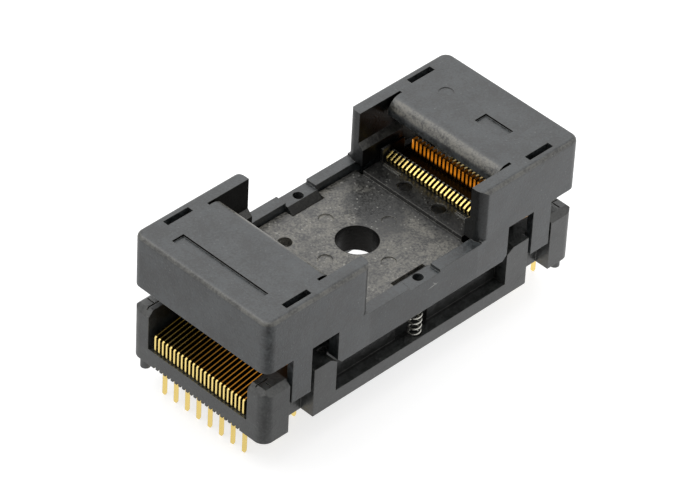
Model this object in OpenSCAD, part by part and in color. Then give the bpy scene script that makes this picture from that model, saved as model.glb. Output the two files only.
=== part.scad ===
// Open-top test socket for a thin package with two rows of fine-pitch leads.
// Z is up and X runs along the socket. Heights are counted from the underside of the
// base and then lifted by the length of the solder pins, so the pin tips stand on Z = 0.

/* [Overall] */
// Length of the base and of the cover
body_l = 40; // [37:0.5:60]
// Width of the base and of the cover
body_w = 17.4; // [17:0.1:24]
// Height of the cover's top above the underside of the base
cover_top = 14.25; // [13.8:0.05:18]
// Radius of the upright corners of the base
base_corner_r = 1.1; // [0.4:0.1:1.6]
// Radius of the upright corners of the cover
cover_corner_r = 1; // [0.6:0.1:1.4]
// Radius of the cover's top edges
cover_edge_r = 0.5; // [0.2:0.05:0.55]

/* [Contacts] */
// Contacts in each row
contact_count = 24; // [8:1:24]
// Distance from one contact to the next
pitch = 0.5; // [0.42:0.01:0.52]
// Thickness of the strip that the contacts are stamped from
contact_t = 0.24; // [0.15:0.01:0.26]
// Gap between a contact and each side of its slot
slot_gap = 0.03; // [0.02:0.01:0.05]
// How far the outer ends of the contacts lie inside the end faces
contact_inset = 0.23; // [0.1:0.01:0.5]
// How far the noses lie inside the end faces
nose_inset = 10.5; // [10:0.1:10.9]
// Height of the noses' front corner
nose_z = 8.65; // [8.5:0.05:8.9]
// Height of the upper corner of the outer ends
foot_top_z = 3.6; // [3.3:0.05:4.2]
// Height of the lower edge of the contacts inside the comb
foot_bottom_z = 0.9; // [0.6:0.05:1.2]
// Width of the bent spring arm
arm_w = 0.5; // [0.3:0.05:0.6]
// Length of the solder pins below the base
pin_drop = 3.5; // [2:0.1:5]
// Width of a solder pin
pin_w = 0.4; // [0.3:0.05:0.5]
// How far the outer row of pins lies inside the end faces
pin_inset = 1.1; // [1.05:0.05:1.4]
// Distance from one row of pins to the next
pin_row_step = 3.35; // [2:0.05:3.4]

/* [Base] */
// Height of the bars below the side windows
sill_z = 1.46; // [1.2:0.02:2]
// Height of the posts beside the side windows
wall_z = 5.5; // [5.3:0.05:5.8]
// Height of the four corner posts
post_z = 6.08; // [5.95:0.01:6.1]
// Width across a corner post
post_w = 2.25; // [2.1:0.05:2.4]
// Height of the sill below the contacts in each end
end_sill_z = 1.8; // [1.5:0.05:2]
// Thickness of the sill below the contacts in each end
end_sill_t = 0.85; // [0.6:0.05:0.9]
// Thickness of the base's floor
floor_t = 1.5; // [1.2:0.05:2]
// Length of each solid end beside the channels of the legs
end_block_l = 3.1; // [2.9:0.05:3.2]
// Depth of the channels that the legs run in
channel_d = 1.55; // [1.45:0.05:1.7]
// Length of the channels
channel_l = 3.06; // [2.9:0.02:3.2]
// Width of the posts beside the side windows
window_post_l = 2.82; // [2:0.02:3.5]
// Depth of the side windows
window_d = 1.4; // [1.35:0.05:1.4]
// Thickness of the ledge that the legs' hooks catch under
ledge_h = 1.25; // [0.8:0.05:1.4]
// Chamfer along the top of the posts beside the side windows
post_slope_l = 0.8; // [0.3:0.05:1.2]
// Height of that chamfer
post_slope_h = 0.55; // [0.2:0.05:0.9]
// Diameter of the two locating pegs
peg_d = 1; // [0.8:0.05:1.4]
// Length of the two locating pegs
peg_l = 1.4; // [0.6:0.1:2]
// How far the pegs lie inside the end faces
peg_inset_x = 0.85; // [0.75:0.05:1.5]
// How far the pegs lie inside the side faces
peg_inset_y = 1.1; // [0.8:0.05:1.5]
// Depth of the notches along the lower edges of the end walls
tooth_h = 0.28; // [0.1:0.02:0.35]

/* [Seat] */
// Height of the package seat
seat_z = 7.55; // [7.2:0.05:7.8]
// Height of the shelves that the leads lie on
shelf_z = 8; // [7.85:0.05:8.05]
// Length of each shelf
shelf_l = 3.2; // [2.5:0.1:3.4]
// Thickness of the seat's skirt
skirt_t = 0.5; // [0.4:0.05:0.9]
// Diameter of the hole through the middle
centre_hole_d = 4.1; // [2:0.1:5]
// Depth of the hole through the middle
centre_hole_l = 2.9; // [2.1:0.1:4]
// Height of the bar between the noses and the levers
guide_z = 7.45; // [7:0.05:7.6]
// Thickness of that bar
guide_t = 0.75; // [0.5:0.05:0.8]
// Diameter of the round marks on the seat
mark_d = 1.45; // [1:0.05:1.8]
// Depth of the round marks on the seat
mark_depth = 0.12; // [0.05:0.01:0.2]
// Distance from the middle of the seat to the round marks
mark_ring_r = 4.1; // [3.6:0.1:5]

/* [Cover] */
// Height of the cover's lower edge
cover_z = 8.4; // [8.35:0.05:8.8]
// Thickness of the top plates
plate_t = 1.75; // [1.2:0.05:1.9]
// Length of each top plate, measured from the end face
plate_l = 9.45; // [9.2:0.05:9.8]
// Radius of the top plates' inner edges
plate_edge_r = 1.35; // [0.4:0.05:1.7]
// Length of the side walls, measured from the end face
wing_l = 12.9; // [12.5:0.1:13.5]
// Plan radius of the side walls' inner ends
wing_r = 0.95; // [0.3:0.05:1.1]
// Thickness of the side walls above the step
wing_t = 1.5; // [1.3:0.05:1.6]
// Thickness of the side walls below the step
cheek_t = 2.1; // [2:0.05:2.15]
// Height of the step inside the side walls
step_z = 10.8; // [10:0.1:11.5]
// Width of the slit beside each top plate
slit_w = 0.3; // [0.2:0.05:0.4]
// Length of the side walls beyond the slit, measured from the end face
slit_end = 7.7; // [7.2:0.1:8.2]
// Thickness of the end walls
end_wall_t = 1.2; // [0.8:0.1:1.5]
// Thickness of the rails along the sides
rail_t = 1.25; // [1.1:0.05:1.25]
// Height of the rails' lower edge
rail_z = 4.6; // [4.4:0.05:5]
// Chamfer at the rails' lower ends
rail_chamfer = 0.5; // [0.2:0.05:0.8]
// Depth of the low stretch in the middle of the rails
rail_dip = 0.35; // [0.1:0.05:0.6]
// Length of the low stretch in the middle of the rails
dip_l = 3.86; // [3:0.02:5]
// How far the spring bosses stand in from the rails
boss_d = 1; // [0.8:0.05:1.05]
// Length of the openings above the hooks
slot_l = 3.08; // [2.8:0.02:3.4]
// Width of the openings above the hooks
slot_w = 0.67; // [0.4:0.01:0.72]
// How far the openings lie inside the end faces
slot_inset = 2.97; // [2.6:0.01:3.2]
// Length of a leg along the socket
leg_l = 2.36; // [1.8:0.02:2.5]
// Gap between a leg and the outer end of its channel
leg_gap = 0.28; // [0.1:0.02:0.5]
// Thickness of a leg
leg_t = 0.72; // [0.6:0.02:0.8]
// Height of the legs' lower end
leg_z = 3.3; // [3:0.05:3.35]
// How far a hook stands in from its leg
hook_d = 0.68; // [0.4:0.02:0.7]
// Height of a hook
hook_h = 0.85; // [0.6:0.05:0.85]
// Width of the ribs that press the contacts' levers
rib_w = 1.3; // [0.9:0.05:1.4]
// Depth of the plain panels in the top plates
panel_depth = 0.22; // [0.1:0.02:0.4]

/* [Springs and travel] */
// How far the cover can be pressed down
travel = 2.2; // [1.5:0.05:2.2]
// Gap between parts that slide past each other
slide_gap = 0.1; // [0.05:0.01:0.12]
// Outer diameter of a spring
spring_d = 1.3; // [1:0.05:1.3]
// Diameter of the spring wire
wire_d = 0.17; // [0.12:0.01:0.22]
// Height of one turn of a spring
spring_pitch = 0.64; // [0.5:0.02:0.8]
// How far the springs lie inside the side faces
spring_inset = 0.92; // [0.9:0.01:1]
// Depth of the pockets that the springs stand in
spring_pocket = 0.35; // [0.2:0.05:0.6]

/* [Hidden] */
$fn = 48;
eps = 0.02;
half_l = body_l / 2;
half_w = body_w / 2;
big = body_l;

row_half = (contact_count - 1) / 2 * pitch;
slot_t = contact_t + 2 * slot_gap;
comb_wall = 0.25;
comb_half = row_half + slot_t / 2 + comb_wall;
comb_l = pin_inset + 2 * pin_row_step + 0.85 - end_sill_t - slide_gap / 2;
comb_spine = 0.4;
comb_bottom = 0.4;
comb_top = 3.2;
comb_ledge = 0.2;
comb_x = half_l - end_sill_t - slide_gap / 2;

window_half = half_w - post_w;
channel_x = half_l - end_block_l - channel_l;
rail_x = channel_x - window_post_l - slide_gap;
leg_x = half_l - end_block_l - leg_gap - leg_l;
wing_x = half_l - wing_l;
plate_x = half_l - plate_l;
plate_z = cover_top - plate_t;
slit_x = half_l - slit_end;
cheek_y = half_w - cheek_t;
wing_y = half_w - wing_t;
rail_y = half_w - rail_t;
boss_y = rail_y - boss_d;
boss_slope = 0.75;
dip_z = cover_z - rail_dip;
notch_gap = slide_gap + 0.03;
spring_y = half_w - spring_inset;
spring_z = sill_z - spring_pocket;
spring_hole_d = spring_d + 0.14;
spring_top = dip_z - 0.75;

nose_x = half_l - nose_inset;
shelf_x = nose_x + 0.8;
shelf_half = window_half - 0.05;
seat_half = half_w - window_d;
skirt_y = window_half - 0.5;
pocket_gap = 0.05;
post_chamfer = post_z - wall_z;
groove_w = 0.12;
groove_d = 0.3;

lever_z = nose_z + 0.3;
lever_x = nose_x + 3.5;
rib_z = lever_z + travel + 0.1;

both_rows = [for (side = ["left", "right"], i = [1:contact_count])
    str("contact_", side, i < 10 ? "_0" : "_", i)];

// Lifts what it holds from the base's underside to the pin tips' level.
module stand() {
    translate([0, 0, pin_drop]) children();
}

module both_ends() {
    children();
    mirror([1, 0, 0]) children();
}

module both_sides() {
    children();
    mirror([0, 1, 0]) children();
}

// A block from one corner to the opposite one.
module span(low, high) {
    translate(low) cube(high - low);
}

// A flat outline with round corners, centred on the origin.
module round_plan(half_x, half_y, r) {
    square([2 * half_x, 2 * (half_y - r)], center = true);
    square([2 * (half_x - r), 2 * half_y], center = true);
    for (x = [-1, 1], y = [-1, 1])
        translate([x * (half_x - r), y * (half_y - r)]) circle(r);
}

// A profile drawn in X and Z, given a thickness about Y = 0.
module along_y(length) {
    rotate([90, 0, 0]) linear_extrude(length, center = true) children();
}

// A profile drawn in Y and Z, given a length about X = 0.
module along_x(length) {
    rotate([90, 0, 90]) linear_extrude(length, center = true) children();
}

// What is left outside a quarter circle: it rounds an upright corner.
module corner_cut(r, h) {
    linear_extrude(h) difference() {
        square(r + eps);
        circle(r);
    }
}

// One half of a bar's section with a round upper edge.
module edge_section(half, low, high, r) {
    translate([-half, low]) square([2 * half, high - r - low]);
    translate([-(half - r), low]) square([2 * (half - r), high - low]);
    for (s = [-1, 1]) translate([s * (half - r), high - r]) circle(r);
}

// The cover's outer body: upright corners and top edges are round.
module crowned_block(low, high) {
    along_x(2 * (half_l - cover_corner_r)) edge_section(half_w, low, high, cover_edge_r);
    along_y(2 * (half_w - cover_corner_r)) edge_section(half_l, low, high, cover_edge_r);
    for (x = [-1, 1], y = [-1, 1])
        translate([x * (half_l - cover_corner_r), y * (half_w - cover_corner_r), 0])
            rotate_extrude() intersection() {
                edge_section(cover_corner_r, low, high, cover_edge_r);
                translate([0, low]) square([cover_corner_r, high]);
            }
}

/* The base */

module post_tops() {
    both_ends() both_sides() {
        translate([half_l - groove_d * 6.3, window_half + 0.55, post_z - groove_d])
            cube([groove_d * 5, groove_w, groove_d + eps]);
        translate([half_l - groove_d * 4.7, window_half + 0.75, post_z - groove_d])
            cube([groove_w, groove_d * 2.7, groove_d + eps]);
        along_x_cut = [[half_w + eps, wall_z], [half_w + eps, post_z + eps],
            [half_w - post_chamfer, post_z + eps], [half_w - post_chamfer, post_z], [half_w, wall_z]];
        along_x(2 * big) polygon(along_x_cut);
        along_y(2 * big) polygon([for (p = along_x_cut) [p[0] - half_w + half_l, p[1]]]);
    }
}

module channels() {
    both_ends() both_sides() {
        span([channel_x, half_w - channel_d, -eps],
            [half_l - end_block_l, half_w + eps, wall_z - ledge_h]);
        span([channel_x, half_w - leg_t - slide_gap, -eps],
            [half_l - end_block_l, half_w + eps, wall_z + eps]);
    }
}

module side_windows() {
    both_sides() {
        span([-(rail_x + slide_gap), seat_half, sill_z], [rail_x + slide_gap, half_w + eps, wall_z + eps]);
        span([-(dip_l / 2 + notch_gap), boss_y - notch_gap, sill_z],
            [dip_l / 2 + notch_gap, half_w, wall_z + eps]);
        translate([0, spring_y, spring_z]) cylinder(d = spring_hole_d, h = sill_z);
    }
    both_ends() both_sides() translate([0, (half_w + window_half) / 2 + 0.18, 0])
        along_y(half_w - window_half - 0.34) polygon([[rail_x, wall_z - post_slope_h],
            [rail_x + slide_gap, wall_z - post_slope_h], [rail_x + slide_gap + post_slope_l, wall_z],
            [rail_x + slide_gap + post_slope_l, wall_z + eps], [rail_x, wall_z + eps]]);
}

module comb_wells() {
    both_ends() {
        span([comb_x - comb_l - pocket_gap, -comb_half - pocket_gap, comb_bottom],
            [half_l - end_sill_t, comb_half + pocket_gap, wall_z + eps]);
        span([comb_x - comb_l + comb_spine, -comb_half + comb_ledge, -eps],
            [half_l - end_sill_t, comb_half - comb_ledge, wall_z]);
    }
}

// Small notches along the lower edge of each end wall, between the contacts.
module end_notches() {
    both_ends() for (i = [0:contact_count - 2])
        translate([half_l - 0.3, (i + 1) * pitch - row_half - pitch / 2 - 0.11, -eps])
            cube([0.3 + eps, 0.22, tooth_h + eps]);
}

module base_housing() {
    color([0.36, 0.37, 0.38]) stand() {
        difference() {
            linear_extrude(post_z) round_plan(half_l, half_w, base_corner_r);
            span([-(half_l - end_block_l), -big, wall_z], [half_l - end_block_l, big, post_z + eps]);
            post_tops();
            channels();
            side_windows();
            both_ends() span([shelf_x, -window_half, end_sill_z], [half_l + eps, window_half, post_z + eps]);
            span([-shelf_x - pocket_gap, -skirt_y - pocket_gap, floor_t],
                [shelf_x + pocket_gap, skirt_y + pocket_gap, post_z]);
            comb_wells();
            end_notches();
            span([-shelf_x + skirt_t, -skirt_y + skirt_t, -eps], [shelf_x - skirt_t, skirt_y - skirt_t, post_z]);
        }
        for (turn = [0, 180])
            rotate(turn) translate([half_l - peg_inset_x, peg_inset_y - half_w, -peg_l])
                cylinder(d = peg_d, h = peg_l + eps);
    }
}

/* The package seat */

module seat_outline() {
    square([2 * (min(shelf_x - shelf_l, wing_x) - slide_gap), 2 * seat_half], center = true);
    square([2 * shelf_x, 2 * shelf_half], center = true);
}

module package_seat() {
    color([0.44, 0.45, 0.44]) stand() difference() {
        union() {
            translate([0, 0, wall_z]) linear_extrude(seat_z - wall_z) seat_outline();
            both_ends() span([shelf_x - shelf_l, -shelf_half, wall_z], [shelf_x, shelf_half, shelf_z]);
            both_ends() both_sides()
                for (x = [nose_x - 0.5, nose_x - 0.28])
                    span([x, row_half - 2.1, shelf_z - eps], [x + 0.1, row_half, shelf_z + 0.1]);
            both_ends() {
                span([lever_x - 1.4, -shelf_half, guide_z - guide_t], [lever_x - 0.2, shelf_half, guide_z]);
                both_sides() span([shelf_x - eps, comb_half - 0.1, guide_z - 2.6],
                    [lever_x + 1.2, shelf_half, shelf_z]);
            }
            difference() {
                span([-shelf_x, -skirt_y, floor_t], [shelf_x, skirt_y, wall_z + eps]);
                span([-shelf_x + skirt_t, -skirt_y + skirt_t, floor_t - eps],
                    [shelf_x - skirt_t, skirt_y - skirt_t, wall_z]);
            }
            translate([0, 0, seat_z - centre_hole_l])
                cylinder(d = centre_hole_d + 2 * skirt_t, h = centre_hole_l - eps);
        }
        both_sides() span([-(dip_l / 2 + notch_gap), boss_y - notch_gap, wall_z - eps],
            [dip_l / 2 + notch_gap, half_w, seat_z + eps]);
        translate([0, 0, floor_t]) cylinder(d = centre_hole_d, h = seat_z);
        for (a = [0:90:270])
            rotate(a) translate([mark_ring_r, 0, seat_z - mark_depth]) cylinder(d = mark_d, h = 1);
        both_ends() both_sides()
            translate([nose_x - 1.1, 2.2, shelf_z - mark_depth]) cylinder(d = mark_d, h = 1);
        translate([nose_inset - half_l + 4.34, mark_ring_r + 0.1, seat_z - 1]) cylinder(d = mark_d - 0.05, h = 2);
    }
}

/* The combs and the contacts */

module contact_comb() {
    difference() {
        span([comb_x - comb_l, -comb_half, comb_bottom], [comb_x, comb_half, comb_top]);
        for (i = [0:contact_count - 1])
            translate([comb_x - comb_l + comb_spine, i * pitch - row_half - slot_t / 2, comb_bottom - eps])
                cube([comb_l, slot_t, comb_top]);
    }
}

module contact_comb_left() {
    color([0.3, 0.3, 0.3]) stand() mirror([1, 0, 0]) contact_comb();
}

module contact_comb_right() {
    color([0.3, 0.3, 0.3]) stand() contact_comb();
}

// A stamped contact in X and Z: foot, bent arm, nose and lever, and one pin of a row.
module contact_profile(pin_row) {
    foot_x = comb_x - comb_l + comb_spine + 0.15;
    bend_x = nose_x + 3.5;
    bend_z = 5.2;
    bend_r = 1.3;
    pin_x = half_l - pin_inset - pin_row * pin_row_step;
    polygon([[half_l - contact_inset - 0.12, end_sill_z + 0.06], [half_l - contact_inset, end_sill_z + 0.18],
        [half_l - contact_inset, foot_top_z - 0.12], [half_l - contact_inset - 0.14, foot_top_z],
        [bend_x + 1.2, foot_top_z + 1], [foot_x, foot_top_z + 1], [foot_x, foot_bottom_z],
        [comb_x - 0.02, foot_bottom_z], [comb_x - 0.02, end_sill_z + 0.06]]);
    difference() {
        translate([bend_x, bend_z]) circle(bend_r);
        translate([bend_x, bend_z]) circle(bend_r - arm_w);
        translate([bend_x - 0.1, 0]) square(big);
    }
    polygon([[nose_x + 0.1, shelf_z + 0.12], [nose_x + 0.65, shelf_z + 0.12], [nose_x + 1.25, shelf_z - 1.4],
        [bend_x - 1.15, bend_z + 0.1], [bend_x - 0.7, bend_z + 0.8], [bend_x - 0.1, bend_z + 0.95],
        [lever_x + 0.4, bend_z + 0.9], [lever_x + 0.7, bend_z + 1.3], [lever_x + 0.6, lever_z],
        [lever_x, lever_z], [lever_x, bend_z + bend_r], [bend_x - 0.7, bend_z + bend_r],
        [nose_x + 1.9, bend_z + bend_r], [nose_x + 1.35, shelf_z + 0.2], [nose_x + 1.15, nose_z + 0.3],
        [nose_x + 0.95, nose_z + 0.5], [nose_x + 0.7, nose_z + 0.36], [nose_x + 0.25, nose_z + 0.18],
        [nose_x, nose_z]]);
    translate([pin_x - pin_w / 2, pin_w / 2 - pin_drop]) square([pin_w, pin_drop + foot_bottom_z]);
    translate([pin_x, pin_w / 2 - pin_drop]) circle(pin_w / 2);
}

// Contact number i of a row, counted from the back.
module contact(i) {
    pin_row = [2, 0, 1][i % 3];
    stand() translate([0, row_half - i * pitch, 0])
        along_y(contact_t) contact_profile(pin_row);
}

/* The springs */

// A coil spring as one swept tube with flat-lying end turns.
module coil_spring() {
    sides = 6;
    steps = 12;
    free_h = spring_top - spring_z - wire_d;
    turns = free_h / spring_pitch;
    wire_r = wire_d / 2;
    coil_r = spring_d / 2 - wire_r;
    count = ceil(turns * steps);
    rings = [for (i = [0:count]) let (a = 360 * turns * i / count, z = free_h * i / count)
        [for (s = [0:sides - 1]) let (b = 360 * s / sides)
            [(coil_r + wire_r * cos(b)) * cos(a), (coil_r + wire_r * cos(b)) * sin(a), z + wire_r * sin(b)]]];
    points = [for (ring = rings, p = ring) p];
    tube = [for (i = [0:count - 1], s = [0:sides - 1]) let (n = (s + 1) % sides)
        [i * sides + s, (i + 1) * sides + s, (i + 1) * sides + n, i * sides + n]];
    first = [for (s = [0:sides - 1]) s];
    last = [for (s = [sides - 1:-1:0]) count * sides + s];
    translate([0, 0, spring_z + wire_r]) polyhedron(points, concat(tube, [first, last]), convexity = 10);
}

module spring_front() {
    color([0.8, 0.8, 0.74]) stand() translate([0, -spring_y, 0]) coil_spring();
}

module spring_back() {
    color([0.8, 0.8, 0.74]) stand() translate([0, spring_y, 0]) coil_spring();
}

/* The cover */

module cover_hollow() {
    both_ends() {
        span([0, -cheek_y, rail_z], [half_l - end_wall_t, cheek_y, plate_z]);
        span([0, -wing_y, step_z], [plate_x, wing_y, cover_top + eps]);
        span([0, -wing_y, step_z], [slit_x, wing_y, plate_z]);
        along_x(2 * slit_x) polygon([[-wing_y, step_z + eps], [-wing_y, step_z], [-cheek_y, step_z - wing_y + cheek_y],
            [cheek_y, step_z - wing_y + cheek_y], [wing_y, step_z], [wing_y, step_z + eps]]);
        both_sides() {
            span([0, wing_y - slit_w, step_z], [slit_x, wing_y, cover_top + eps]);
            span([half_l - slot_inset - slot_l, cheek_y + slot_w + 0.01, rail_z],
                [half_l - slot_inset, cheek_y + 2 * slot_w + 0.01, cover_top + eps]);
        }
        translate([plate_x + plate_edge_r, 0, cover_top - plate_edge_r]) rotate([0, -90, 90])
            translate([0, 0, -wing_y]) corner_cut(plate_edge_r, 2 * wing_y);
    }
}

module wings_and_plates() {
    difference() {
        crowned_block(cover_z, cover_top);
        span([-wing_x, -big, 0], [wing_x, big, big]);
        cover_hollow();
        both_ends() both_sides() translate([wing_x + wing_r, half_w - wing_r, 0])
            mirror([1, 0, 0]) corner_cut(wing_r, big);
        span([-(half_l - 1.75), -5.45, cover_top - panel_depth], [-(half_l - 3.15), 5.45, big]);
        span([half_l - 5.65, -4, cover_top - panel_depth], [half_l - 4.15, -0.5, big]);
        translate([half_l - 4.6, 4.2, cover_top - mark_depth / 2]) cylinder(d = mark_d, h = 1);
    }
}

// The rib under a top plate that presses the levers down.
module press_rib() {
    span([lever_x - 0.15, -comb_half, rib_z + 0.3], [lever_x - 0.15 + rib_w, comb_half, plate_z + eps]);
    translate([lever_x + rib_w / 2 - 0.15, 0, 0]) along_y(2 * comb_half) polygon([
        [-rib_w / 2, rib_z + 0.3 + eps], [-rib_w / 2, rib_z + 0.3], [0.3 - rib_w / 2, rib_z],
        [rib_w / 2 - 0.3, rib_z], [rib_w / 2, rib_z + 0.3], [rib_w / 2, rib_z + 0.3 + eps]]);
}

module rail() {
    overlap = 0.2;
    translate([0, (half_w + rail_y) / 2, 0]) along_y(rail_t) polygon([
        [rail_x - rail_chamfer, rail_z], [rail_x, rail_z + rail_chamfer], [rail_x, cover_z + overlap],
        [wing_x + overlap, cover_z + overlap], [wing_x + overlap, cover_z], [dip_l / 2, cover_z],
        [dip_l / 2, dip_z], [-dip_l / 2, dip_z], [-dip_l / 2, cover_z], [-wing_x - overlap, cover_z],
        [-wing_x - overlap, cover_z + overlap], [-rail_x, cover_z + overlap],
        [-rail_x, rail_z + rail_chamfer], [-rail_x + rail_chamfer, rail_z]]);
    along_x(dip_l) polygon([[rail_y + eps, rail_z], [rail_y + eps, dip_z], [boss_y + boss_slope, dip_z],
        [boss_y, dip_z - boss_slope], [boss_y, rail_z]]);
}

module leg() {
    span([leg_x, half_w - leg_t, leg_z], [leg_x + leg_l, half_w, cover_z + 0.2]);
    translate([leg_x + leg_l / 2, half_w - leg_t, leg_z]) along_x(leg_l)
        polygon([[eps, 0], [eps, hook_h], [-hook_d, hook_h], [-hook_d, hook_h / 2], [-hook_d / 3, 0]]);
}

module cover() {
    color([0.38, 0.39, 0.4]) stand() {
        difference() {
            union() {
                wings_and_plates();
                both_sides() rail();
            }
            both_sides() translate([0, spring_y, 0]) {
                cylinder(d = spring_hole_d, h = spring_top);
                cylinder(d = spring_hole_d - 0.39, h = cover_z);
            }
        }
        both_ends() both_sides() leg();
        both_ends() press_rib();
    }
}

base_housing();
cover();
package_seat();
contact_comb_left();
contact_comb_right();
spring_front();
spring_back();
for (i = [0:contact_count - 1]) {
    color([0.85, 0.68, 0.3]) mirror([1, 0, 0]) contact(i);
    color([0.85, 0.68, 0.3]) contact(i);
}
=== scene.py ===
"""Dresses the solid model of an open-top test socket: finishes, springs and a studio."""

import math

import bmesh
import bpy
from bpy.props import FloatProperty, FloatVectorProperty, IntProperty, PointerProperty
from bpy.types import Operator, Panel, PropertyGroup
from mathutils import Euler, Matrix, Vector


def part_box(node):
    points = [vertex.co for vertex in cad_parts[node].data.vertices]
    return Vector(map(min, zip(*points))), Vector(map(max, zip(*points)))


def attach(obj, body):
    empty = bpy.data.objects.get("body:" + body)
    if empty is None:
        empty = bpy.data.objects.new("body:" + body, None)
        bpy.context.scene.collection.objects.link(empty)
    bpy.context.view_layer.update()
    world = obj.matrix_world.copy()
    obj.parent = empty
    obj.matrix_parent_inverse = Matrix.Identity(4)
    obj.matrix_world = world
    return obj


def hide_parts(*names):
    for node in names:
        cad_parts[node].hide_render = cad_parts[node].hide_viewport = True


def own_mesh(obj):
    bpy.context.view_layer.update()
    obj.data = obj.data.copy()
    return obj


bl_info = {
    "name": "Test Socket Dresser",
    "version": (1, 0, 0),
    "blender": (4, 5, 0),
    "location": "3D View > Sidebar > Test Socket",
    "description": "Gives a test socket's solid model its finishes, coil springs and a studio",
    "category": "Object",
}

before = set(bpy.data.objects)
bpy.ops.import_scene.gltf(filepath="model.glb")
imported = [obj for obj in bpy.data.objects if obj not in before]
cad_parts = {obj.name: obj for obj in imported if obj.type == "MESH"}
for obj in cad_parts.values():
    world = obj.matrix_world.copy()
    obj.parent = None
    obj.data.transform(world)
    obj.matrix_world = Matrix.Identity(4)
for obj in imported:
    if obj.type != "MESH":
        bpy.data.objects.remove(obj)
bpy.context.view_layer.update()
SEAT_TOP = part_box("package_seat")[1][2]
COVER_LOW, COVER_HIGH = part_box("cover")
PITCH = abs(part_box("contact_right_02")[0][1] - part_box("contact_right_01")[0][1])
MM = 0.001
DIAGONAL = 0.7071

# Sizes of the marks in the plastic's skin, in grains
FLOW, PATCH, DOT, SPECK_GAP = 12, 4, 1.6, 7

BLACK, WHITE = (0.0, 0.0, 0.0), (1.0, 1.0, 1.0)
# Painted shade: near-black put on the plastic where the shade is deep
PAINTED_HOLLOW_SHADE = (0.004, 0.0035, 0.003)  # plastic where hardly any light gets in
FLECK, SPECK = (0.5, 0.49, 0.45), (0.6, 0.6, 0.56)
# Painted shade: dark plating between the blades
PAINTED_BLADE_SHADE = (0.02, 0.012, 0.004)
# Painted shade: dark tops on the levers and dark grey on the noses' backs
PAINTED_LEVER_TOP_SHADE, PAINTED_NOSE_BACK_SHADE = (0.1, 0.04, 0.006), (0.1, 0.1, 0.085)
# Painted light: glow colours given to the levers, strips, pins and arms in place of the light thrown between the blades
PAINTED_LEVER_GLOW, PAINTED_STRIP_GLOW, PAINTED_PIN_GLOW = (0.85, 0.27, 0.015), (0.42, 0.34, 0.14), (0.16, 0.11, 0.025)
PAINTED_NEAR_ARM_GLOW, PAINTED_FAR_ARM_GLOW = (0.6, 0.25, 0.03), (0.075, 0.048, 0.008)

# Where the plating's colour, painted shade and painted glow change, each time over a short way from the first place to
# the second:
# distances from the socket's middle along it, and heights above the pins' tips.
NOSES = 10.9 * MM, 11.3 * MM
NOSE_BACKS, NOSE_BACK_HEIGHT = (10.22 * MM, 10.3 * MM), (12 * MM, 12.3 * MM)
NOSE_TIP_HEIGHT = 11.6 * MM, 11.9 * MM
LEVERS, LEVER_HEIGHT = (11.6 * MM, 11.9 * MM), (8 * MM, 8.5 * MM)
LEVER_GLOW_LOW, LEVER_GLOW_HIGH = (11.2 * MM, 11.6 * MM), (12 * MM, 12.5 * MM)
ARMS = 13.7 * MM, 14.4 * MM
INSIDE, INSIDE_HEIGHT = (19.5 * MM, 19.7 * MM), (3.4 * MM, 3.7 * MM)
STRIPS = 19.6 * MM, 19.72 * MM
PIN_HEIGHT = 3.4 * MM, 3.6 * MM
# Where a surface counts as facing an axis
FACING = 0.5, 0.8


class PlasticLook(PropertyGroup):
    """Colours and grain of the moulded parts."""

    cover: FloatVectorProperty(
        name="Cover", description="Colour of the press-down cover", subtype="COLOR", default=(0.026, 0.03, 0.032))
    base: FloatVectorProperty(
        name="Base", description="Colour of the base and the combs", subtype="COLOR", default=(0.022, 0.024, 0.023))
    seat: FloatVectorProperty(
        name="Seat", description="Colour of the package seat", subtype="COLOR", default=(0.026, 0.026, 0.024))
    # Painted highlight: the rim colour goes on the softened edges as a painted edge highlight, and on the patches that
    # cloud paints paler
    rim: FloatVectorProperty(
        name="Rim", description="Colour of rubbed edges", subtype="COLOR", default=(0.19, 0.18, 0.152))
    grain: FloatProperty(
        name="Grain", description="Size of the moulded grain", subtype="DISTANCE", default=0.25 * MM, min=0.01 * MM)
    edge: FloatProperty(
        name="Edge", description="Radius of the softened edges", subtype="DISTANCE", default=0.1 * MM, min=0)
    roughness: FloatProperty(
        name="Roughness", description="Roughness of the moulded skin", default=0.36, min=0, max=1)
    gloss: FloatProperty(
        name="Gloss", description="Index of refraction of the moulded skin", default=1.85, min=1, max=2.5)


class MetalLook(PropertyGroup):
    """Colours of the plated contacts, with their painted amber reflection and the strength of their painted glow, and
    of the spring wire.
    """

    gold: FloatVectorProperty(
        name="Gold", description="Colour of the plating in the open", subtype="COLOR", default=(0.98, 0.74, 0.24))
    # Painted reflection: amber stands in for the gold that the blades mirror in each other, on the levers and on the
    # near side's arms
    painted_amber: FloatVectorProperty(
        name="Amber", description="Colour of the plating deep between its neighbours", subtype="COLOR",
        default=(1.0, 0.5, 0.09))
    brass: FloatVectorProperty(
        name="Brass", description="Colour of the plating on the pins and feet", subtype="COLOR",
        default=(0.98, 0.75, 0.26))
    steel: FloatVectorProperty(
        name="Steel", description="Colour of the spring wire", subtype="COLOR", default=(0.82, 0.81, 0.74))
    roughness: FloatProperty(
        name="Roughness", description="Roughness of the plating", default=0.24, min=0, max=1)
    # Painted light: strength of the glow given to the plating
    painted_glow: FloatProperty(
        name="Glow", description="Strength of the light thrown from blade to blade", default=0.7, min=0)


class SpringSizes(PropertyGroup):
    """Sizes of the coil springs."""

    wire: FloatProperty(
        name="Wire", description="Diameter of the spring wire", subtype="DISTANCE", default=0.17 * MM, min=0.01 * MM)
    turn: FloatProperty(
        name="Turn", description="Height of one turn", subtype="DISTANCE", default=0.64 * MM, min=0.1 * MM)
    sides: IntProperty(name="Sides", description="Faces round the wire", default=10, min=4, max=32)
    steps: IntProperty(name="Steps", description="Faces along one turn", default=28, min=8, max=96)


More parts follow.
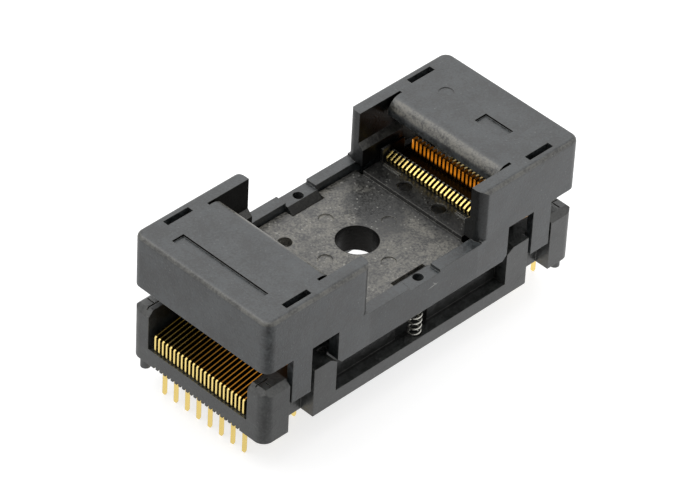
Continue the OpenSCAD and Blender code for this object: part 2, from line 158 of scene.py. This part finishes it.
class ShadeBlockSizes(PropertyGroup):
    """Sizes and place of the low blocks of painted shade beside the rows of noses."""

    start: FloatProperty(
        name="Start", description="Where a guard starts along the socket", subtype="DISTANCE", default=9.3 * MM)
    length: FloatProperty(name="Length", description="Length of a guard", subtype="DISTANCE", default=2.9 * MM)
    inner: FloatProperty(
        name="Inner", description="Its inner side's distance from the middle", subtype="DISTANCE", default=6.09 * MM)
    thickness: FloatProperty(
        name="Thickness", description="Thickness of a guard", subtype="DISTANCE", default=0.28 * MM)
    foot: FloatProperty(name="Foot", description="Height of its foot", subtype="DISTANCE", default=11.4 * MM)
    height: FloatProperty(name="Height", description="Height of a guard", subtype="DISTANCE", default=1.65 * MM)
    rounding: FloatProperty(
        name="Rounding", description="Radius of its upper edges", subtype="DISTANCE", default=0.1 * MM, min=0)


class StudioSizes(PropertyGroup):
    """Camera, lamps and floor."""

    eye: FloatVectorProperty(
        name="Eye", description="Where the camera stands", subtype="TRANSLATION",
        default=(-239.78 * MM, -224.59 * MM, 285.8 * MM))
    turn: FloatVectorProperty(
        name="Turn", description="How the camera is turned", subtype="EULER",
        default=(math.radians(49.919), math.radians(-2.652), math.radians(-44.946)))
    lens: FloatProperty(name="Lens", description="Focal length in millimetres", default=240.8, min=10)
    shift: FloatVectorProperty(
        name="Shift", description="Sideways and upward shift of the frame", size=2, default=(-0.0366, -0.0011))
    sky: FloatProperty(name="Sky", description="Strength of the white surroundings", default=0.74, min=0)
    lamp: FloatProperty(name="Lamp", description="Power of the large soft lamp", subtype="POWER", default=0.9, min=0)
    back_lamp: FloatProperty(
        name="Back Lamp", description="Power of the soft lamp behind", subtype="POWER", default=0.35, min=0)
    lamp_size: FloatProperty(
        name="Lamp Size", description="Width of the large soft lamp", subtype="DISTANCE", default=0.5, min=0.01)
    floor: FloatProperty(
        name="Floor", description="Width of the floor", subtype="DISTANCE", default=4.0, min=0.5)
    floor_lift: FloatProperty(
        name="Floor Lift", description="Share of plain white in what is seen of the floor", default=0.45, min=0, max=1)
    front_shade: FloatProperty(
        name="Front Shade", description="How dark the camera's side is", default=0.75, min=0, max=1)


class SocketLook(PropertyGroup):
    """Everything that a user would change."""

    plastic: PointerProperty(type=PlasticLook)
    metal: PointerProperty(type=MetalLook)
    spring: PointerProperty(type=SpringSizes)
    shade_block: PointerProperty(type=ShadeBlockSizes)
    studio: PointerProperty(type=StudioSizes)


class Val:
    """A number that varies over a surface. Arithmetic on it adds Math nodes."""

    def __init__(self, finish, socket):
        self.finish = finish
        self.socket = socket

    def calc(self, operation, first, second=None):
        values = {0: first} if second is None else {0: first, 1: second}
        return self.finish.node("ShaderNodeMath", {"operation": operation}, values)

    def __add__(self, other):
        return self.calc("ADD", self, other)

    __radd__ = __add__

    def __sub__(self, other):
        return self.calc("SUBTRACT", self, other)

    def __rsub__(self, other):
        return self.calc("SUBTRACT", other, self)

    def __mul__(self, other):
        return self.calc("MULTIPLY", self, other)

    __rmul__ = __mul__

    def __pow__(self, other):
        return self.calc("POWER", self, other)

    def size(self):
        return self.calc("ABSOLUTE", self)


class Finish:
    """A material in the making. Its node method adds any node, and the rest are short forms of it."""

    def __init__(self, name, kind="materials", coordinates="Object"):
        self.material = getattr(bpy.data, kind).new(name)
        self.material.use_nodes = True
        self.tree = self.material.node_tree
        self.tree.nodes.clear()
        self.place = self.node("ShaderNodeTexCoord", out=coordinates)
        self.x = self.node("ShaderNodeSeparateXYZ", values={0: self.place}, out="X")
        self.y = self.node("ShaderNodeSeparateXYZ", values={0: self.place}, out="Y")
        self.z = self.node("ShaderNodeSeparateXYZ", values={0: self.place}, out="Z")

    def facing(self, axis):
        """How far the surface faces along an axis of the object, from -1 to 1."""
        return self.node("ShaderNodeSeparateXYZ", values={0: self.normal()}, out=axis)

    def normal(self):
        """The way that the surface faces, with no finish on it."""
        return self.node("ShaderNodeNewGeometry", out="Normal")

    def near(self, place, radius):
        """1 at a place and 0 from radius away."""
        gap = self.node("ShaderNodeVectorMath", {"operation": "DISTANCE"}, {0: self.place, 1: place}, out="Value")
        return self.fade(gap, 0.0, radius)

    def node(self, kind, settings=None, values=None, out=0):
        made = self.tree.nodes.new(kind)
        for key, value in (settings or {}).items():
            setattr(made, key, value)
        for key, value in (values or {}).items():
            if isinstance(value, Val):
                self.tree.links.new(value.socket, made.inputs[key])
            elif isinstance(value, (tuple, list)) and len(made.inputs[key].default_value) > len(value):
                made.inputs[key].default_value = (*value, 1.0)
            else:
                made.inputs[key].default_value = value
        return Val(self, made.outputs[out])

    def noise(self, size, detail=2.0, roughness=0.5):
        """Cloudy noise whose blots are about as wide as size."""
        return self.node("ShaderNodeTexNoise", values={
            "Vector": self.place, "Scale": 1 / size, "Detail": detail, "Roughness": roughness}, out="Fac")

    def cells(self, size):
        """Distance to scattered points about size apart."""
        return self.node("ShaderNodeTexVoronoi", values={"Vector": self.place, "Scale": 1 / size}, out="Distance")

    def ease(self, value, low, high, start=0.0, end=1.0):
        """start where value is under low, end where it is over high, and smooth between."""
        return self.node("ShaderNodeMapRange", {"interpolation_type": "SMOOTHSTEP"}, {
            "Value": value, "From Min": low, "From Max": high, "To Min": start, "To Max": end})

    def fade(self, value, low, high):
        """1 where value is under low, 0 where it is over high, and smooth between."""
        return self.ease(value, low, high, 1.0, 0.0)

    def band(self, value, low, high, soft):
        """1 where value lies between low and high, and 0 elsewhere."""
        return self.ease(value, low - soft, low + soft) * self.fade(value, high - soft, high + soft)

    def blend(self, share, first, second):
        """Colour first turning into second as share goes from 0 to 1."""
        return self.node("ShaderNodeMix", {"data_type": "RGBA"}, {0: share, 6: first, 7: second}, out=2)

    def soft_edge(self, radius):
        """The normal with rounded edges, and how strongly an edge bends it."""
        rounded = self.node("ShaderNodeBevel", {"samples": 6}, {"Radius": radius})
        along = self.node(
            "ShaderNodeVectorMath", {"operation": "DOT_PRODUCT"}, {0: rounded, 1: self.normal()}, out="Value")
        return rounded, self.ease(1.0 - along, 0.01, 0.3)

    def bump(self, height, depth, normal=None):
        """A normal that height raises by depth."""
        values = {"Height": height, "Distance": depth}
        if normal is not None:
            values["Normal"] = normal
        return self.node("ShaderNodeBump", values=values)

    def surface(self, **values):
        """Ends the material in one Principled surface."""
        shader = self.node("ShaderNodeBsdfPrincipled", values={
            key.replace("_", " "): value for key, value in values.items()})
        self.node_out(shader)
        return self.material

    def node_out(self, shader, kind="ShaderNodeOutputMaterial"):
        out = self.tree.nodes.new(kind)
        self.tree.links.new(shader.socket, out.inputs["Surface"])


def dress(node, material):
    """Gives a solid of the model its finish."""
    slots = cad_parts[node].data.materials
    slots.clear()
    slots.append(material)


def toned(colour, share):
    """A colour made darker or lighter."""
    return tuple(share * part for part in colour)


def moulded(name, colour, look, blotch=1.0, dust=0.1, lip=0.0, edge_highlight=0.7, deep=None, cloud=None, marks=None):
    """Glass-filled moulded plastic: dark, with a broad sheen, fine grain, flow marks and paler edges.

    blotch, dust, lip and edge_highlight say how strong the flow marks, the pale flecks, the pale upper corners and the
    painted highlight on the edges are. deep says where hardly any light gets in and shade is painted, cloud where the
    skin is painted paler, and marks where it is scratched.
    """
    made = Finish(name)
    rim_colour = tuple(look.rim)
    rounded, rim = made.soft_edge(look.edge)
    flow = made.noise(look.grain * FLOW, 3.0, 0.6)
    patch = made.noise(look.grain * PATCH, 4.0, 0.65)
    grain = made.noise(look.grain, 3.0, 0.7)
    dots = made.fade(made.cells(look.grain * DOT), 0.06, 0.3)

    spread = 0.16 / blotch
    tone = made.ease(0.25 * flow + 0.35 * patch + 0.4 * grain, 0.5 - spread, 0.5 + spread)
    skin = made.blend(tone, toned(colour, 0.35), toned(colour, 1.7))
    if cloud is not None:
        # Patches painted paler where cloud says: a painted reflection on the seat's floor, and a paler band on the
        # plates' rolled edges
        paled = made.ease(0.45 * patch + 0.55 * grain, 0.36, 0.64)
        skin = made.blend(cloud(made) * paled, skin, rim_colour)
    flecks = made.ease(patch, 0.45, 0.62) * dots
    skin = made.blend(flecks * dust, skin, FLECK)
    specks = made.fade(made.cells(look.grain * SPECK_GAP), 0.018, 0.032) * 0.45
    if marks is not None:
        specks = highest(specks, marks(made))
    skin = made.blend(specks * 0.8, skin, SPECK)

    # Painted highlight: the softened edges get the rim colour as an edge highlight, and the sloping upper faces are
    # paled where lip says
    upward = made.facing("Z")
    corner = made.ease(upward, 0.1, 0.4) * made.fade(upward, 0.82, 0.97) * lip
    highlit_edges_and_pale_corners = rim * made.ease(patch, 0.35, 0.65, 0.4 * edge_highlight, edge_highlight) \
        + corner * made.ease(0.5 * patch + 0.2 * flow + 0.3 * grain, 0.36, 0.64, 0.2, 1.0)
    skin = made.blend(highlit_edges_and_pale_corners, skin, rim_colour)

    relief = made.bump(grain + 1.2 * patch + 0.5 * dots, (0.009 + 0.004 * blotch) * MM, rounded)
    rough = made.ease(patch * 0.6 + grain * 0.4, 0.35, 0.65, look.roughness - 0.08, look.roughness + 0.12)
    if deep is None:
        return made.surface(Base_Color=skin, Roughness=rough, IOR=look.gloss, Normal=relief)
    # Painted shade: where deep says, the skin turns near-black and metallic, so that it loses its sheen as well
    dark = deep(made)
    return made.surface(
        Base_Color=made.blend(dark, skin, PAINTED_HOLLOW_SHADE), Metallic=dark * 0.9, Roughness=rough, IOR=look.gloss, Normal=relief)


def highest(first, *others):
    """The highest of several masks."""
    for other in others:
        first = first.calc("MAXIMUM", first, other)
    return first


def cover_shade(made):
    """Painted shade on the cover: its inner cheeks, the walls of shallow recesses, the slopes beside the pocket, the
    wings' ends and the rails.
    """
    along, across, up = made.x.size(), made.y.size(), made.facing("Z")
    endwise, sideways = made.facing("X").size(), made.facing("Y").size()
    below_top = COVER_HIGH[2] - made.z
    cheeks = made.band(along, 7.1 * MM, 19 * MM, 0.1 * MM) * made.fade(across, 7.2 * MM, 7.3 * MM) \
        * made.ease(sideways, 0.5, 0.9) * 0.85
    walls = made.fade(below_top, 0.15 * MM, 0.2 * MM) * made.fade(up, 0.3, 0.6) \
        * made.fade(along, 18.4 * MM, 18.6 * MM) * made.fade(across, 7.1 * MM, 7.3 * MM)
    slopes = made.fade(along, 5.6 * MM, 6.2 * MM) * made.band(up, 0.3, 0.88, 0.06) * 0.75
    ends = made.band(along, 7.0 * MM, 8.0 * MM, 0.03 * MM) * made.ease(endwise, 0.1, 0.3) * 0.6
    rails = made.fade(along, 6.8 * MM, 7.0 * MM) * made.ease(sideways, 0.6, 0.9) * 0.12
    return highest(cheeks, walls, slopes, ends, rails)


def base_shade(made):
    """Painted shade on the walls behind the two long side openings."""
    along, across = made.x.size(), made.y.size()
    return made.band(across, 7.1 * MM, 7.6 * MM, 0.05 * MM) * made.band(made.z, 4.7 * MM, 12 * MM, 0.2 * MM) \
        * made.fade(along, 12 * MM, 12.4 * MM) * 0.4


def plate_rolls(made):
    """The rolled edges of the two press plates, where the skin is painted paler."""
    along, across = made.x.size(), made.y.size()
    return made.band(along, 10.1 * MM, 11.3 * MM, 0.15 * MM) * made.fade(across, 6.4 * MM, 6.6 * MM) \
        * made.band(made.facing("Z"), 0.3, 0.97, 0.1)


def rail_scratch(made):
    """A small scratch on the front rail: one long stroke, and a short one across its end."""
    middle = Vector((1.1 * MM, COVER_LOW[1], COVER_HIGH[2] - 7.3 * MM))
    near = made.near(middle, 0.9 * MM) * made.fade(made.facing("Y"), -0.9, -0.7)
    along, up = made.x - middle.x, made.z - middle.z
    long = made.fade((up - along * 0.12).size(), 0.02 * MM, 0.06 * MM)
    short = made.fade((up + along * 0.9 - 0.35 * MM).size(), 0.02 * MM, 0.05 * MM) \
        * made.band(along, 0.0, 0.45 * MM, 0.03 * MM)
    return near * highest(long * 0.8, short)


def seat_shade(made):
    """Painted shade on the seat between and behind the contacts' noses, on its shelves' round marks and in its round
    hole.
    """
    along, height = made.x.size(), made.z
    hole = made.fade((made.x ** 2 + made.y ** 2) ** 0.5, 2.07 * MM, 2.12 * MM) * 0.97
    shelf = made.ease(along, 6.9 * MM, 7.2 * MM) * 0.36
    behind = made.ease(along, 10.1 * MM, 10.4 * MM)
    ridges = made.band(height, 11.53 * MM, 11.7 * MM, 0.02 * MM) * made.fade(along, 10 * MM, 10.1 * MM)
    marks = made.band(height, 11.3 * MM, 11.46 * MM, 0.02 * MM) * made.ease(made.facing("Z"), 0.8, 0.95) \
        * made.ease(along, 7.2 * MM, 7.3 * MM) * 0.8
    return highest(behind, hole, shelf, marks) * (1.0 - ridges)


def painted_floor_reflection(made):
    """Painted reflection: the middle of the pocket's floor painted paler, with an oval and a corner left darker in it.
    """
    middle = made.fade(made.x.size(), 5.5 * MM, 7 * MM)
    wide = made.noise(2.6 * MM, 2.0, 0.5)
    oval = ((made.x - 4.3 * MM) ** 2 * 2.2 + (made.y - 1.8 * MM) ** 2) ** 0.5 + (wide - 0.5) * (4 * MM)
    corner = made.near((6.5 * MM, 6.5 * MM, SEAT_TOP), 4 * MM)
    clean = highest(made.fade(oval, 2.4 * MM, 4.4 * MM), corner)
    return middle * made.ease(wide, 0.35, 0.6, 0.55, 1.0) * (1.0 - clean)


class ContactZones:
    """Which part of a contact a point of the plating lies on, as masks from 0 to 1."""

    def __init__(self, made):
        away, height = made.x.size(), made.z
        turn = made.y * (1 / PITCH)
        self.off_blade = (turn.calc("FRACT", turn) - 0.5).size() * PITCH
        self.upward = made.ease(made.facing("Z"), *FACING)
        self.endwise = made.ease(made.facing("X").size(), *FACING)
        self.sides = made.ease(made.facing("Y").size(), *FACING)
        self.inside = made.ease(height, *INSIDE_HEIGHT) * made.fade(away, *INSIDE)
        self.levers = made.ease(away, *LEVERS) * made.ease(height, *LEVER_HEIGHT)
        # Painted reflection: 1 on the near side and 0 on the far side, choosing the amber tint and the brighter painted
        # glow of the arms
        self.front = made.fade(made.y, -5.5 * MM, 4.5 * MM)
        self.arms = self.inside * made.ease(away, *ARMS)
        # Painted shade covers the arms' tops, except thin ridges along the blades' middles, which get a painted glow
        self.arm_tops = self.upward * self.arms * (1.0 - self.levers)
        self.arm_ridges = made.fade(self.off_blade, 0.02 * MM, 0.07 * MM) * made.ease(made.x, -1 * MM, 1 * MM, 1.0, 0.3)
        self.noses = made.fade(away, *NOSES)
        self.nose_tips = self.noses * made.ease(height, *NOSE_TIP_HEIGHT)
        self.nose_backs = self.noses * made.ease(away, *NOSE_BACKS) * made.ease(height, *NOSE_BACK_HEIGHT)
        self.strips = made.ease(away, *STRIPS)
        self.pins = made.fade(height, *PIN_HEIGHT)
        self.lever_glow = self.levers * made.ease(height, *LEVER_GLOW_LOW) \
            * made.ease(height, *LEVER_GLOW_HIGH, 1.0, 0.6)


def plating_colour(made, zone, look, cloud):
    """Gold, with painted shade between the blades and on the arms, lever tops and nose backs, a painted amber
    reflection where it stands deep, and a painted highlight along the noses' and strips' middles.
    """
    tone = made.blend(cloud, toned(look.brass, 0.86), tuple(look.brass))
    # Painted highlight: bright gold along the blades' middles, darker towards their sides, on the noses and strips
    painted_blade_highlight = made.blend(made.ease(zone.off_blade, 0.06 * MM, 0.13 * MM), tuple(look.gold), toned(look.brass, 0.6))
    tone = made.blend(highest(zone.noses, zone.strips), tone, painted_blade_highlight)
    tone = made.blend(highest(zone.levers, zone.front * zone.arms), tone, tuple(look.painted_amber))
    # Painted shade on the arms' tops and on the blades' sides deep inside
    tone = made.blend(zone.arm_tops * (1.0 - zone.arm_ridges) * 0.9, tone, PAINTED_BLADE_SHADE)
    # Painted shade on the levers' tops and the noses' backs
    tone = made.blend(zone.levers * zone.upward, tone, PAINTED_LEVER_TOP_SHADE)
    tone = made.blend(zone.nose_backs, tone, PAINTED_NOSE_BACK_SHADE)
    return made.blend(zone.sides * zone.inside * (0.9 - 0.55 * zone.nose_tips), tone, PAINTED_BLADE_SHADE)


def painted_plating_glow(made, zone, cloud):
    """Painted light: a glow on the levers, the arms' ridges, the foot strips and the pins, in place of the light that
    the blades throw on each other.
    """
    ends = highest(zone.endwise, zone.upward * 0.2) * zone.lever_glow * made.ease(cloud, 0.3, 0.7, 0.55, 1.0)
    light = made.blend(ends, BLACK, PAINTED_LEVER_GLOW)
    light = made.blend(
        zone.arm_tops * zone.arm_ridges, light, made.blend(zone.front, PAINTED_FAR_ARM_GLOW, PAINTED_NEAR_ARM_GLOW))
    light = made.blend(zone.strips * made.fade(zone.off_blade, 0.04 * MM, 0.1 * MM), light, PAINTED_STRIP_GLOW)
    return made.blend(zone.pins, light, PAINTED_PIN_GLOW)


class SOCKET_OT_cover(Operator):
    """Finishes the press-down cover"""

    bl_idname = "socket.finish_cover"
    bl_label = "Finish Cover"

    def execute(self, context):
        look = context.scene.socket_look.plastic
        dress("cover", moulded(
            "cover_plastic", tuple(look.cover), look, 1.8, lip=0.6, deep=cover_shade, cloud=plate_rolls,
            marks=rail_scratch))
        return {"FINISHED"}


class SOCKET_OT_base(Operator):
    """Finishes the base and the two combs"""

    bl_idname = "socket.finish_base"
    bl_label = "Finish Base"

    def execute(self, context):
        look = context.scene.socket_look.plastic
        plastic = moulded("base_plastic", tuple(look.base), look, 2.0, lip=0.12, deep=base_shade)
        dress("base_housing", plastic)
        # Painted shade: the combs get a darker copy of the base plastic
        comb_in_shade = moulded("comb_plastic_in_shade", toned(look.base, 0.5), look)
        dress("contact_comb_left", comb_in_shade)
        dress("contact_comb_right", comb_in_shade)
        return {"FINISHED"}


class SOCKET_OT_seat(Operator):
    """Finishes the package seat"""

    bl_idname = "socket.finish_seat"
    bl_label = "Finish Seat"

    def execute(self, context):
        look = context.scene.socket_look.plastic
        dress("package_seat", moulded(
            "seat_plastic", tuple(look.seat), look, 1.6, 0.7, edge_highlight=1.6, deep=seat_shade, cloud=painted_floor_reflection))
        return {"FINISHED"}


class SOCKET_OT_shade_blocks(Operator):
    """Stands a low block of painted shade on the seat beside each end of both rows of noses, to keep light from showing
    through there
    """

    bl_idname = "socket.stand_guards"
    bl_label = "Stand ShadeBlocks"

    def execute(self, context):
        size = context.scene.socket_look.shade_block
        low = Vector((size.start, size.inner, size.foot))
        high = Vector((size.start + size.length, size.inner + size.thickness, size.foot + size.height))
        # Painted shade: four dark blocks, stood where there is only shade, close the gaps through which the bright
        # surroundings would show
        shade_blocks = bmesh.new()
        for end in (-1, 1):
            for side in (-1, 1):
                made = bmesh.ops.create_cube(shade_blocks, size=1.0)["verts"]
                bmesh.ops.scale(shade_blocks, vec=high - low, verts=made)
                bmesh.ops.translate(shade_blocks, vec=(low + high) / 2 * Vector((end, side, 1)), verts=made)
        upper = [edge for edge in shade_blocks.edges if min(vert.co.z for vert in edge.verts) > high.z - size.rounding]
        bmesh.ops.bevel(shade_blocks, geom=upper, offset=size.rounding, segments=3, profile=0.5, affect="EDGES", material=-1)
        piece = model("seat_shade_blocks", shade_blocks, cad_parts["package_seat"].data.materials[0])
        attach(piece, "socket")
        return {"FINISHED"}


class SOCKET_OT_contacts(Operator):
    """Plates the contacts with gold"""

    bl_idname = "socket.plate_contacts"
    bl_label = "Plate Contacts"

    def execute(self, context):
        look = context.scene.socket_look.metal
        made = Finish("gold_plating")
        zone = ContactZones(made)
        cloud = made.noise(0.8 * MM, 2.0, 0.5)
        plating = made.surface(
            Base_Color=plating_colour(made, zone, look, cloud), Metallic=1.0,
            Roughness=made.ease(cloud, 0.3, 0.7, look.roughness - 0.04, look.roughness + 0.06),
            Normal=made.node("ShaderNodeBevel", {"samples": 8}, {"Radius": 0.09 * MM}),
            # Painted light: the plating's emission is a painted glow
            Emission_Color=painted_plating_glow(made, zone, cloud), Emission_Strength=look.painted_glow)
        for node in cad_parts:
            if node.startswith(("contact_left", "contact_right")):
                dress(node, plating)
        return {"FINISHED"}


class SOCKET_OT_springs(Operator):
    """Winds the two return springs from round wire in place of the plain ones"""

    bl_idname = "socket.wind_springs"
    bl_label = "Wind Springs"

    def execute(self, context):
        look = context.scene.socket_look.metal
        size = context.scene.socket_look.spring
        made = Finish("spring_wire")
        drawn = made.noise(0.08 * MM, 2.0, 0.5)
        wire = made.surface(
            Base_Color=made.blend(drawn, toned(look.steel, 0.85), tuple(look.steel)),
            Metallic=1.0, Roughness=made.ease(drawn, 0.3, 0.7, 0.22, 0.36))
        for node in ("spring_front", "spring_back"):
            low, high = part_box(node)
            middle = Vector(((low[0] + high[0]) / 2, (low[1] + high[1]) / 2, low[2]))
            radius = (high[0] - low[0] - size.wire) / 2
            rise = high[2] - low[2] - size.wire
            turns = rise / size.turn
            steps = round(turns * size.steps)
            coil = bmesh.new()
            bmesh.ops.create_circle(coil, segments=size.sides, radius=size.wire / 2, cap_ends=False)
            bmesh.ops.rotate(coil, verts=coil.verts, matrix=Euler((math.radians(90), 0, 0)).to_matrix())
            bmesh.ops.translate(coil, verts=coil.verts, vec=middle + Vector((radius, 0, size.wire / 2)))
            bmesh.ops.spin(
                coil, geom=coil.verts[:] + coil.edges[:], cent=middle, axis=(0, 0, 1), angle=turns * math.tau,
                steps=steps, dvec=(0, 0, rise / steps), use_merge=False, use_duplicate=False)
            bmesh.ops.holes_fill(coil, edges=[edge for edge in coil.edges if edge.is_boundary], sides=0)
            bmesh.ops.recalc_face_normals(coil, faces=coil.faces)
            for face in coil.faces:
                face.smooth = len(face.verts) == 4
            piece = model(f"wound_{node}", coil, wire)
            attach(piece, "socket")
            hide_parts(node)
            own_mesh(piece)
        return {"FINISHED"}


def model(name, shape, material):
    """Turns a finished bmesh into an object with one material."""
    mesh = bpy.data.meshes.new(name)
    shape.to_mesh(mesh)
    shape.free()
    mesh.materials.append(material)
    piece = bpy.data.objects.new(name, mesh)
    bpy.context.scene.collection.objects.link(piece)
    return piece


def before_camera(made):
    """How far towards the socket's front left corner a place lies, and how far off to either side of that line."""
    return (made.x + made.y) * -DIAGONAL, ((made.x - made.y) * DIAGONAL).size()


class SOCKET_OT_studio(Operator):
    """Sets up the pale floor, the soft light and the camera"""

    bl_idname = "socket.set_studio"
    bl_label = "Set Studio"

    def execute(self, context):
        scene = context.scene
        size = scene.socket_look.studio
        scene.view_settings.view_transform = "Standard"

        made = Finish("pale_floor")
        paper = made.node("ShaderNodeBsdfPrincipled", values={
            "Base Color": (0.95, 0.95, 0.95), "Roughness": 0.3, "Specular IOR Level": 0.35})
        seen, mirrored = (made.node("ShaderNodeLightPath", out=f"Is {kind} Ray") for kind in ("Camera", "Glossy"))
        toward, across = before_camera(made)
        # Painted shade: as seen in reflections the floor glows dark on the camera's side, and its glow is weaker
        # towards -x
        shade = made.ease(toward, 10 * MM, 40 * MM) * made.fade(across, 5 * MM, 22 * MM) * mirrored
        strength = seen * 0.8 + made.ease(made.x, -40 * MM, 40 * MM, 0.72, 0.98)
        white = made.node("ShaderNodeEmission", values={
            "Color": made.blend(shade * size.front_shade, WHITE, BLACK), "Strength": strength})
        made.node_out(made.node("ShaderNodeMixShader", values={
            0: seen * size.floor_lift + mirrored, 1: paper, 2: white}))
        ground = bmesh.new()
        bmesh.ops.create_grid(ground, x_segments=4, y_segments=4, size=size.floor / 2)
        model("floor", ground, made.material)

        made = Finish("surroundings", "worlds", "Generated")
        toward, _ = before_camera(made)
        shade = made.ease(toward, 0.35, 0.8) * made.fade(made.z, 0.35, 0.65) * size.front_shade
        made.node_out(made.node("ShaderNodeBackground", values={
            "Color": made.blend(shade, WHITE, BLACK), "Strength": size.sky}), "ShaderNodeOutputWorld")
        scene.world = made.material

        for name, power, place in (
                ("soft_lamp", size.lamp, Vector((-0.12, 0.16, 0.5))),
                ("back_lamp", size.back_lamp, Vector((0.32, 0.3, 0.4)))):
            lamp = bpy.data.lights.new(name, "AREA")
            lamp.energy = power
            lamp.size = size.lamp_size
            hung = bpy.data.objects.new(name, lamp)
            hung.location = place
            hung.rotation_euler = place.to_track_quat("Z", "Y").to_euler()
            scene.collection.objects.link(hung)

        eye = bpy.data.cameras.new("eye")
        eye.lens = size.lens
        eye.sensor_width = 36.0
        eye.shift_x = size.shift[0]
        eye.shift_y = size.shift[1]
        eye.clip_start = 0.01
        eye.clip_end = 20.0
        camera = bpy.data.objects.new("eye", eye)
        camera.location = size.eye
        camera.rotation_euler = size.turn
        scene.collection.objects.link(camera)
        scene.camera = camera
        return {"FINISHED"}


STEPS = (
    SOCKET_OT_cover, SOCKET_OT_base, SOCKET_OT_seat, SOCKET_OT_shade_blocks, SOCKET_OT_contacts, SOCKET_OT_springs,
    SOCKET_OT_studio)


class SOCKET_PT_panel(Panel):
    """Lists the steps and the settings"""

    bl_idname = "SOCKET_PT_panel"
    bl_label = "Test Socket"
    bl_space_type = "VIEW_3D"
    bl_region_type = "UI"
    bl_category = "Test Socket"

    def draw(self, context):
        look = context.scene.socket_look
        for group in (look.plastic, look.metal, look.spring, look.shade_block, look.studio):
            box = self.layout.box()
            for name in group.bl_rna.properties.keys():
                if name not in ("rna_type", "name"):
                    box.prop(group, name)
        for step in STEPS:
            self.layout.operator(step.bl_idname)


CLASSES = (PlasticLook, MetalLook, SpringSizes, ShadeBlockSizes, StudioSizes, SocketLook, *STEPS, SOCKET_PT_panel)


def register():
    for kind in CLASSES:
        bpy.utils.register_class(kind)
    bpy.types.Scene.socket_look = PointerProperty(type=SocketLook)


def unregister():
    del bpy.types.Scene.socket_look
    for kind in reversed(CLASSES):
        bpy.utils.unregister_class(kind)


def main():
    register()
    bpy.ops.socket.finish_cover()
    bpy.ops.socket.finish_base()
    bpy.ops.socket.finish_seat()
    bpy.ops.socket.stand_guards()
    bpy.ops.socket.plate_contacts()
    bpy.ops.socket.wind_springs()
    bpy.ops.socket.set_studio()


if __name__ == "__main__":
    main()
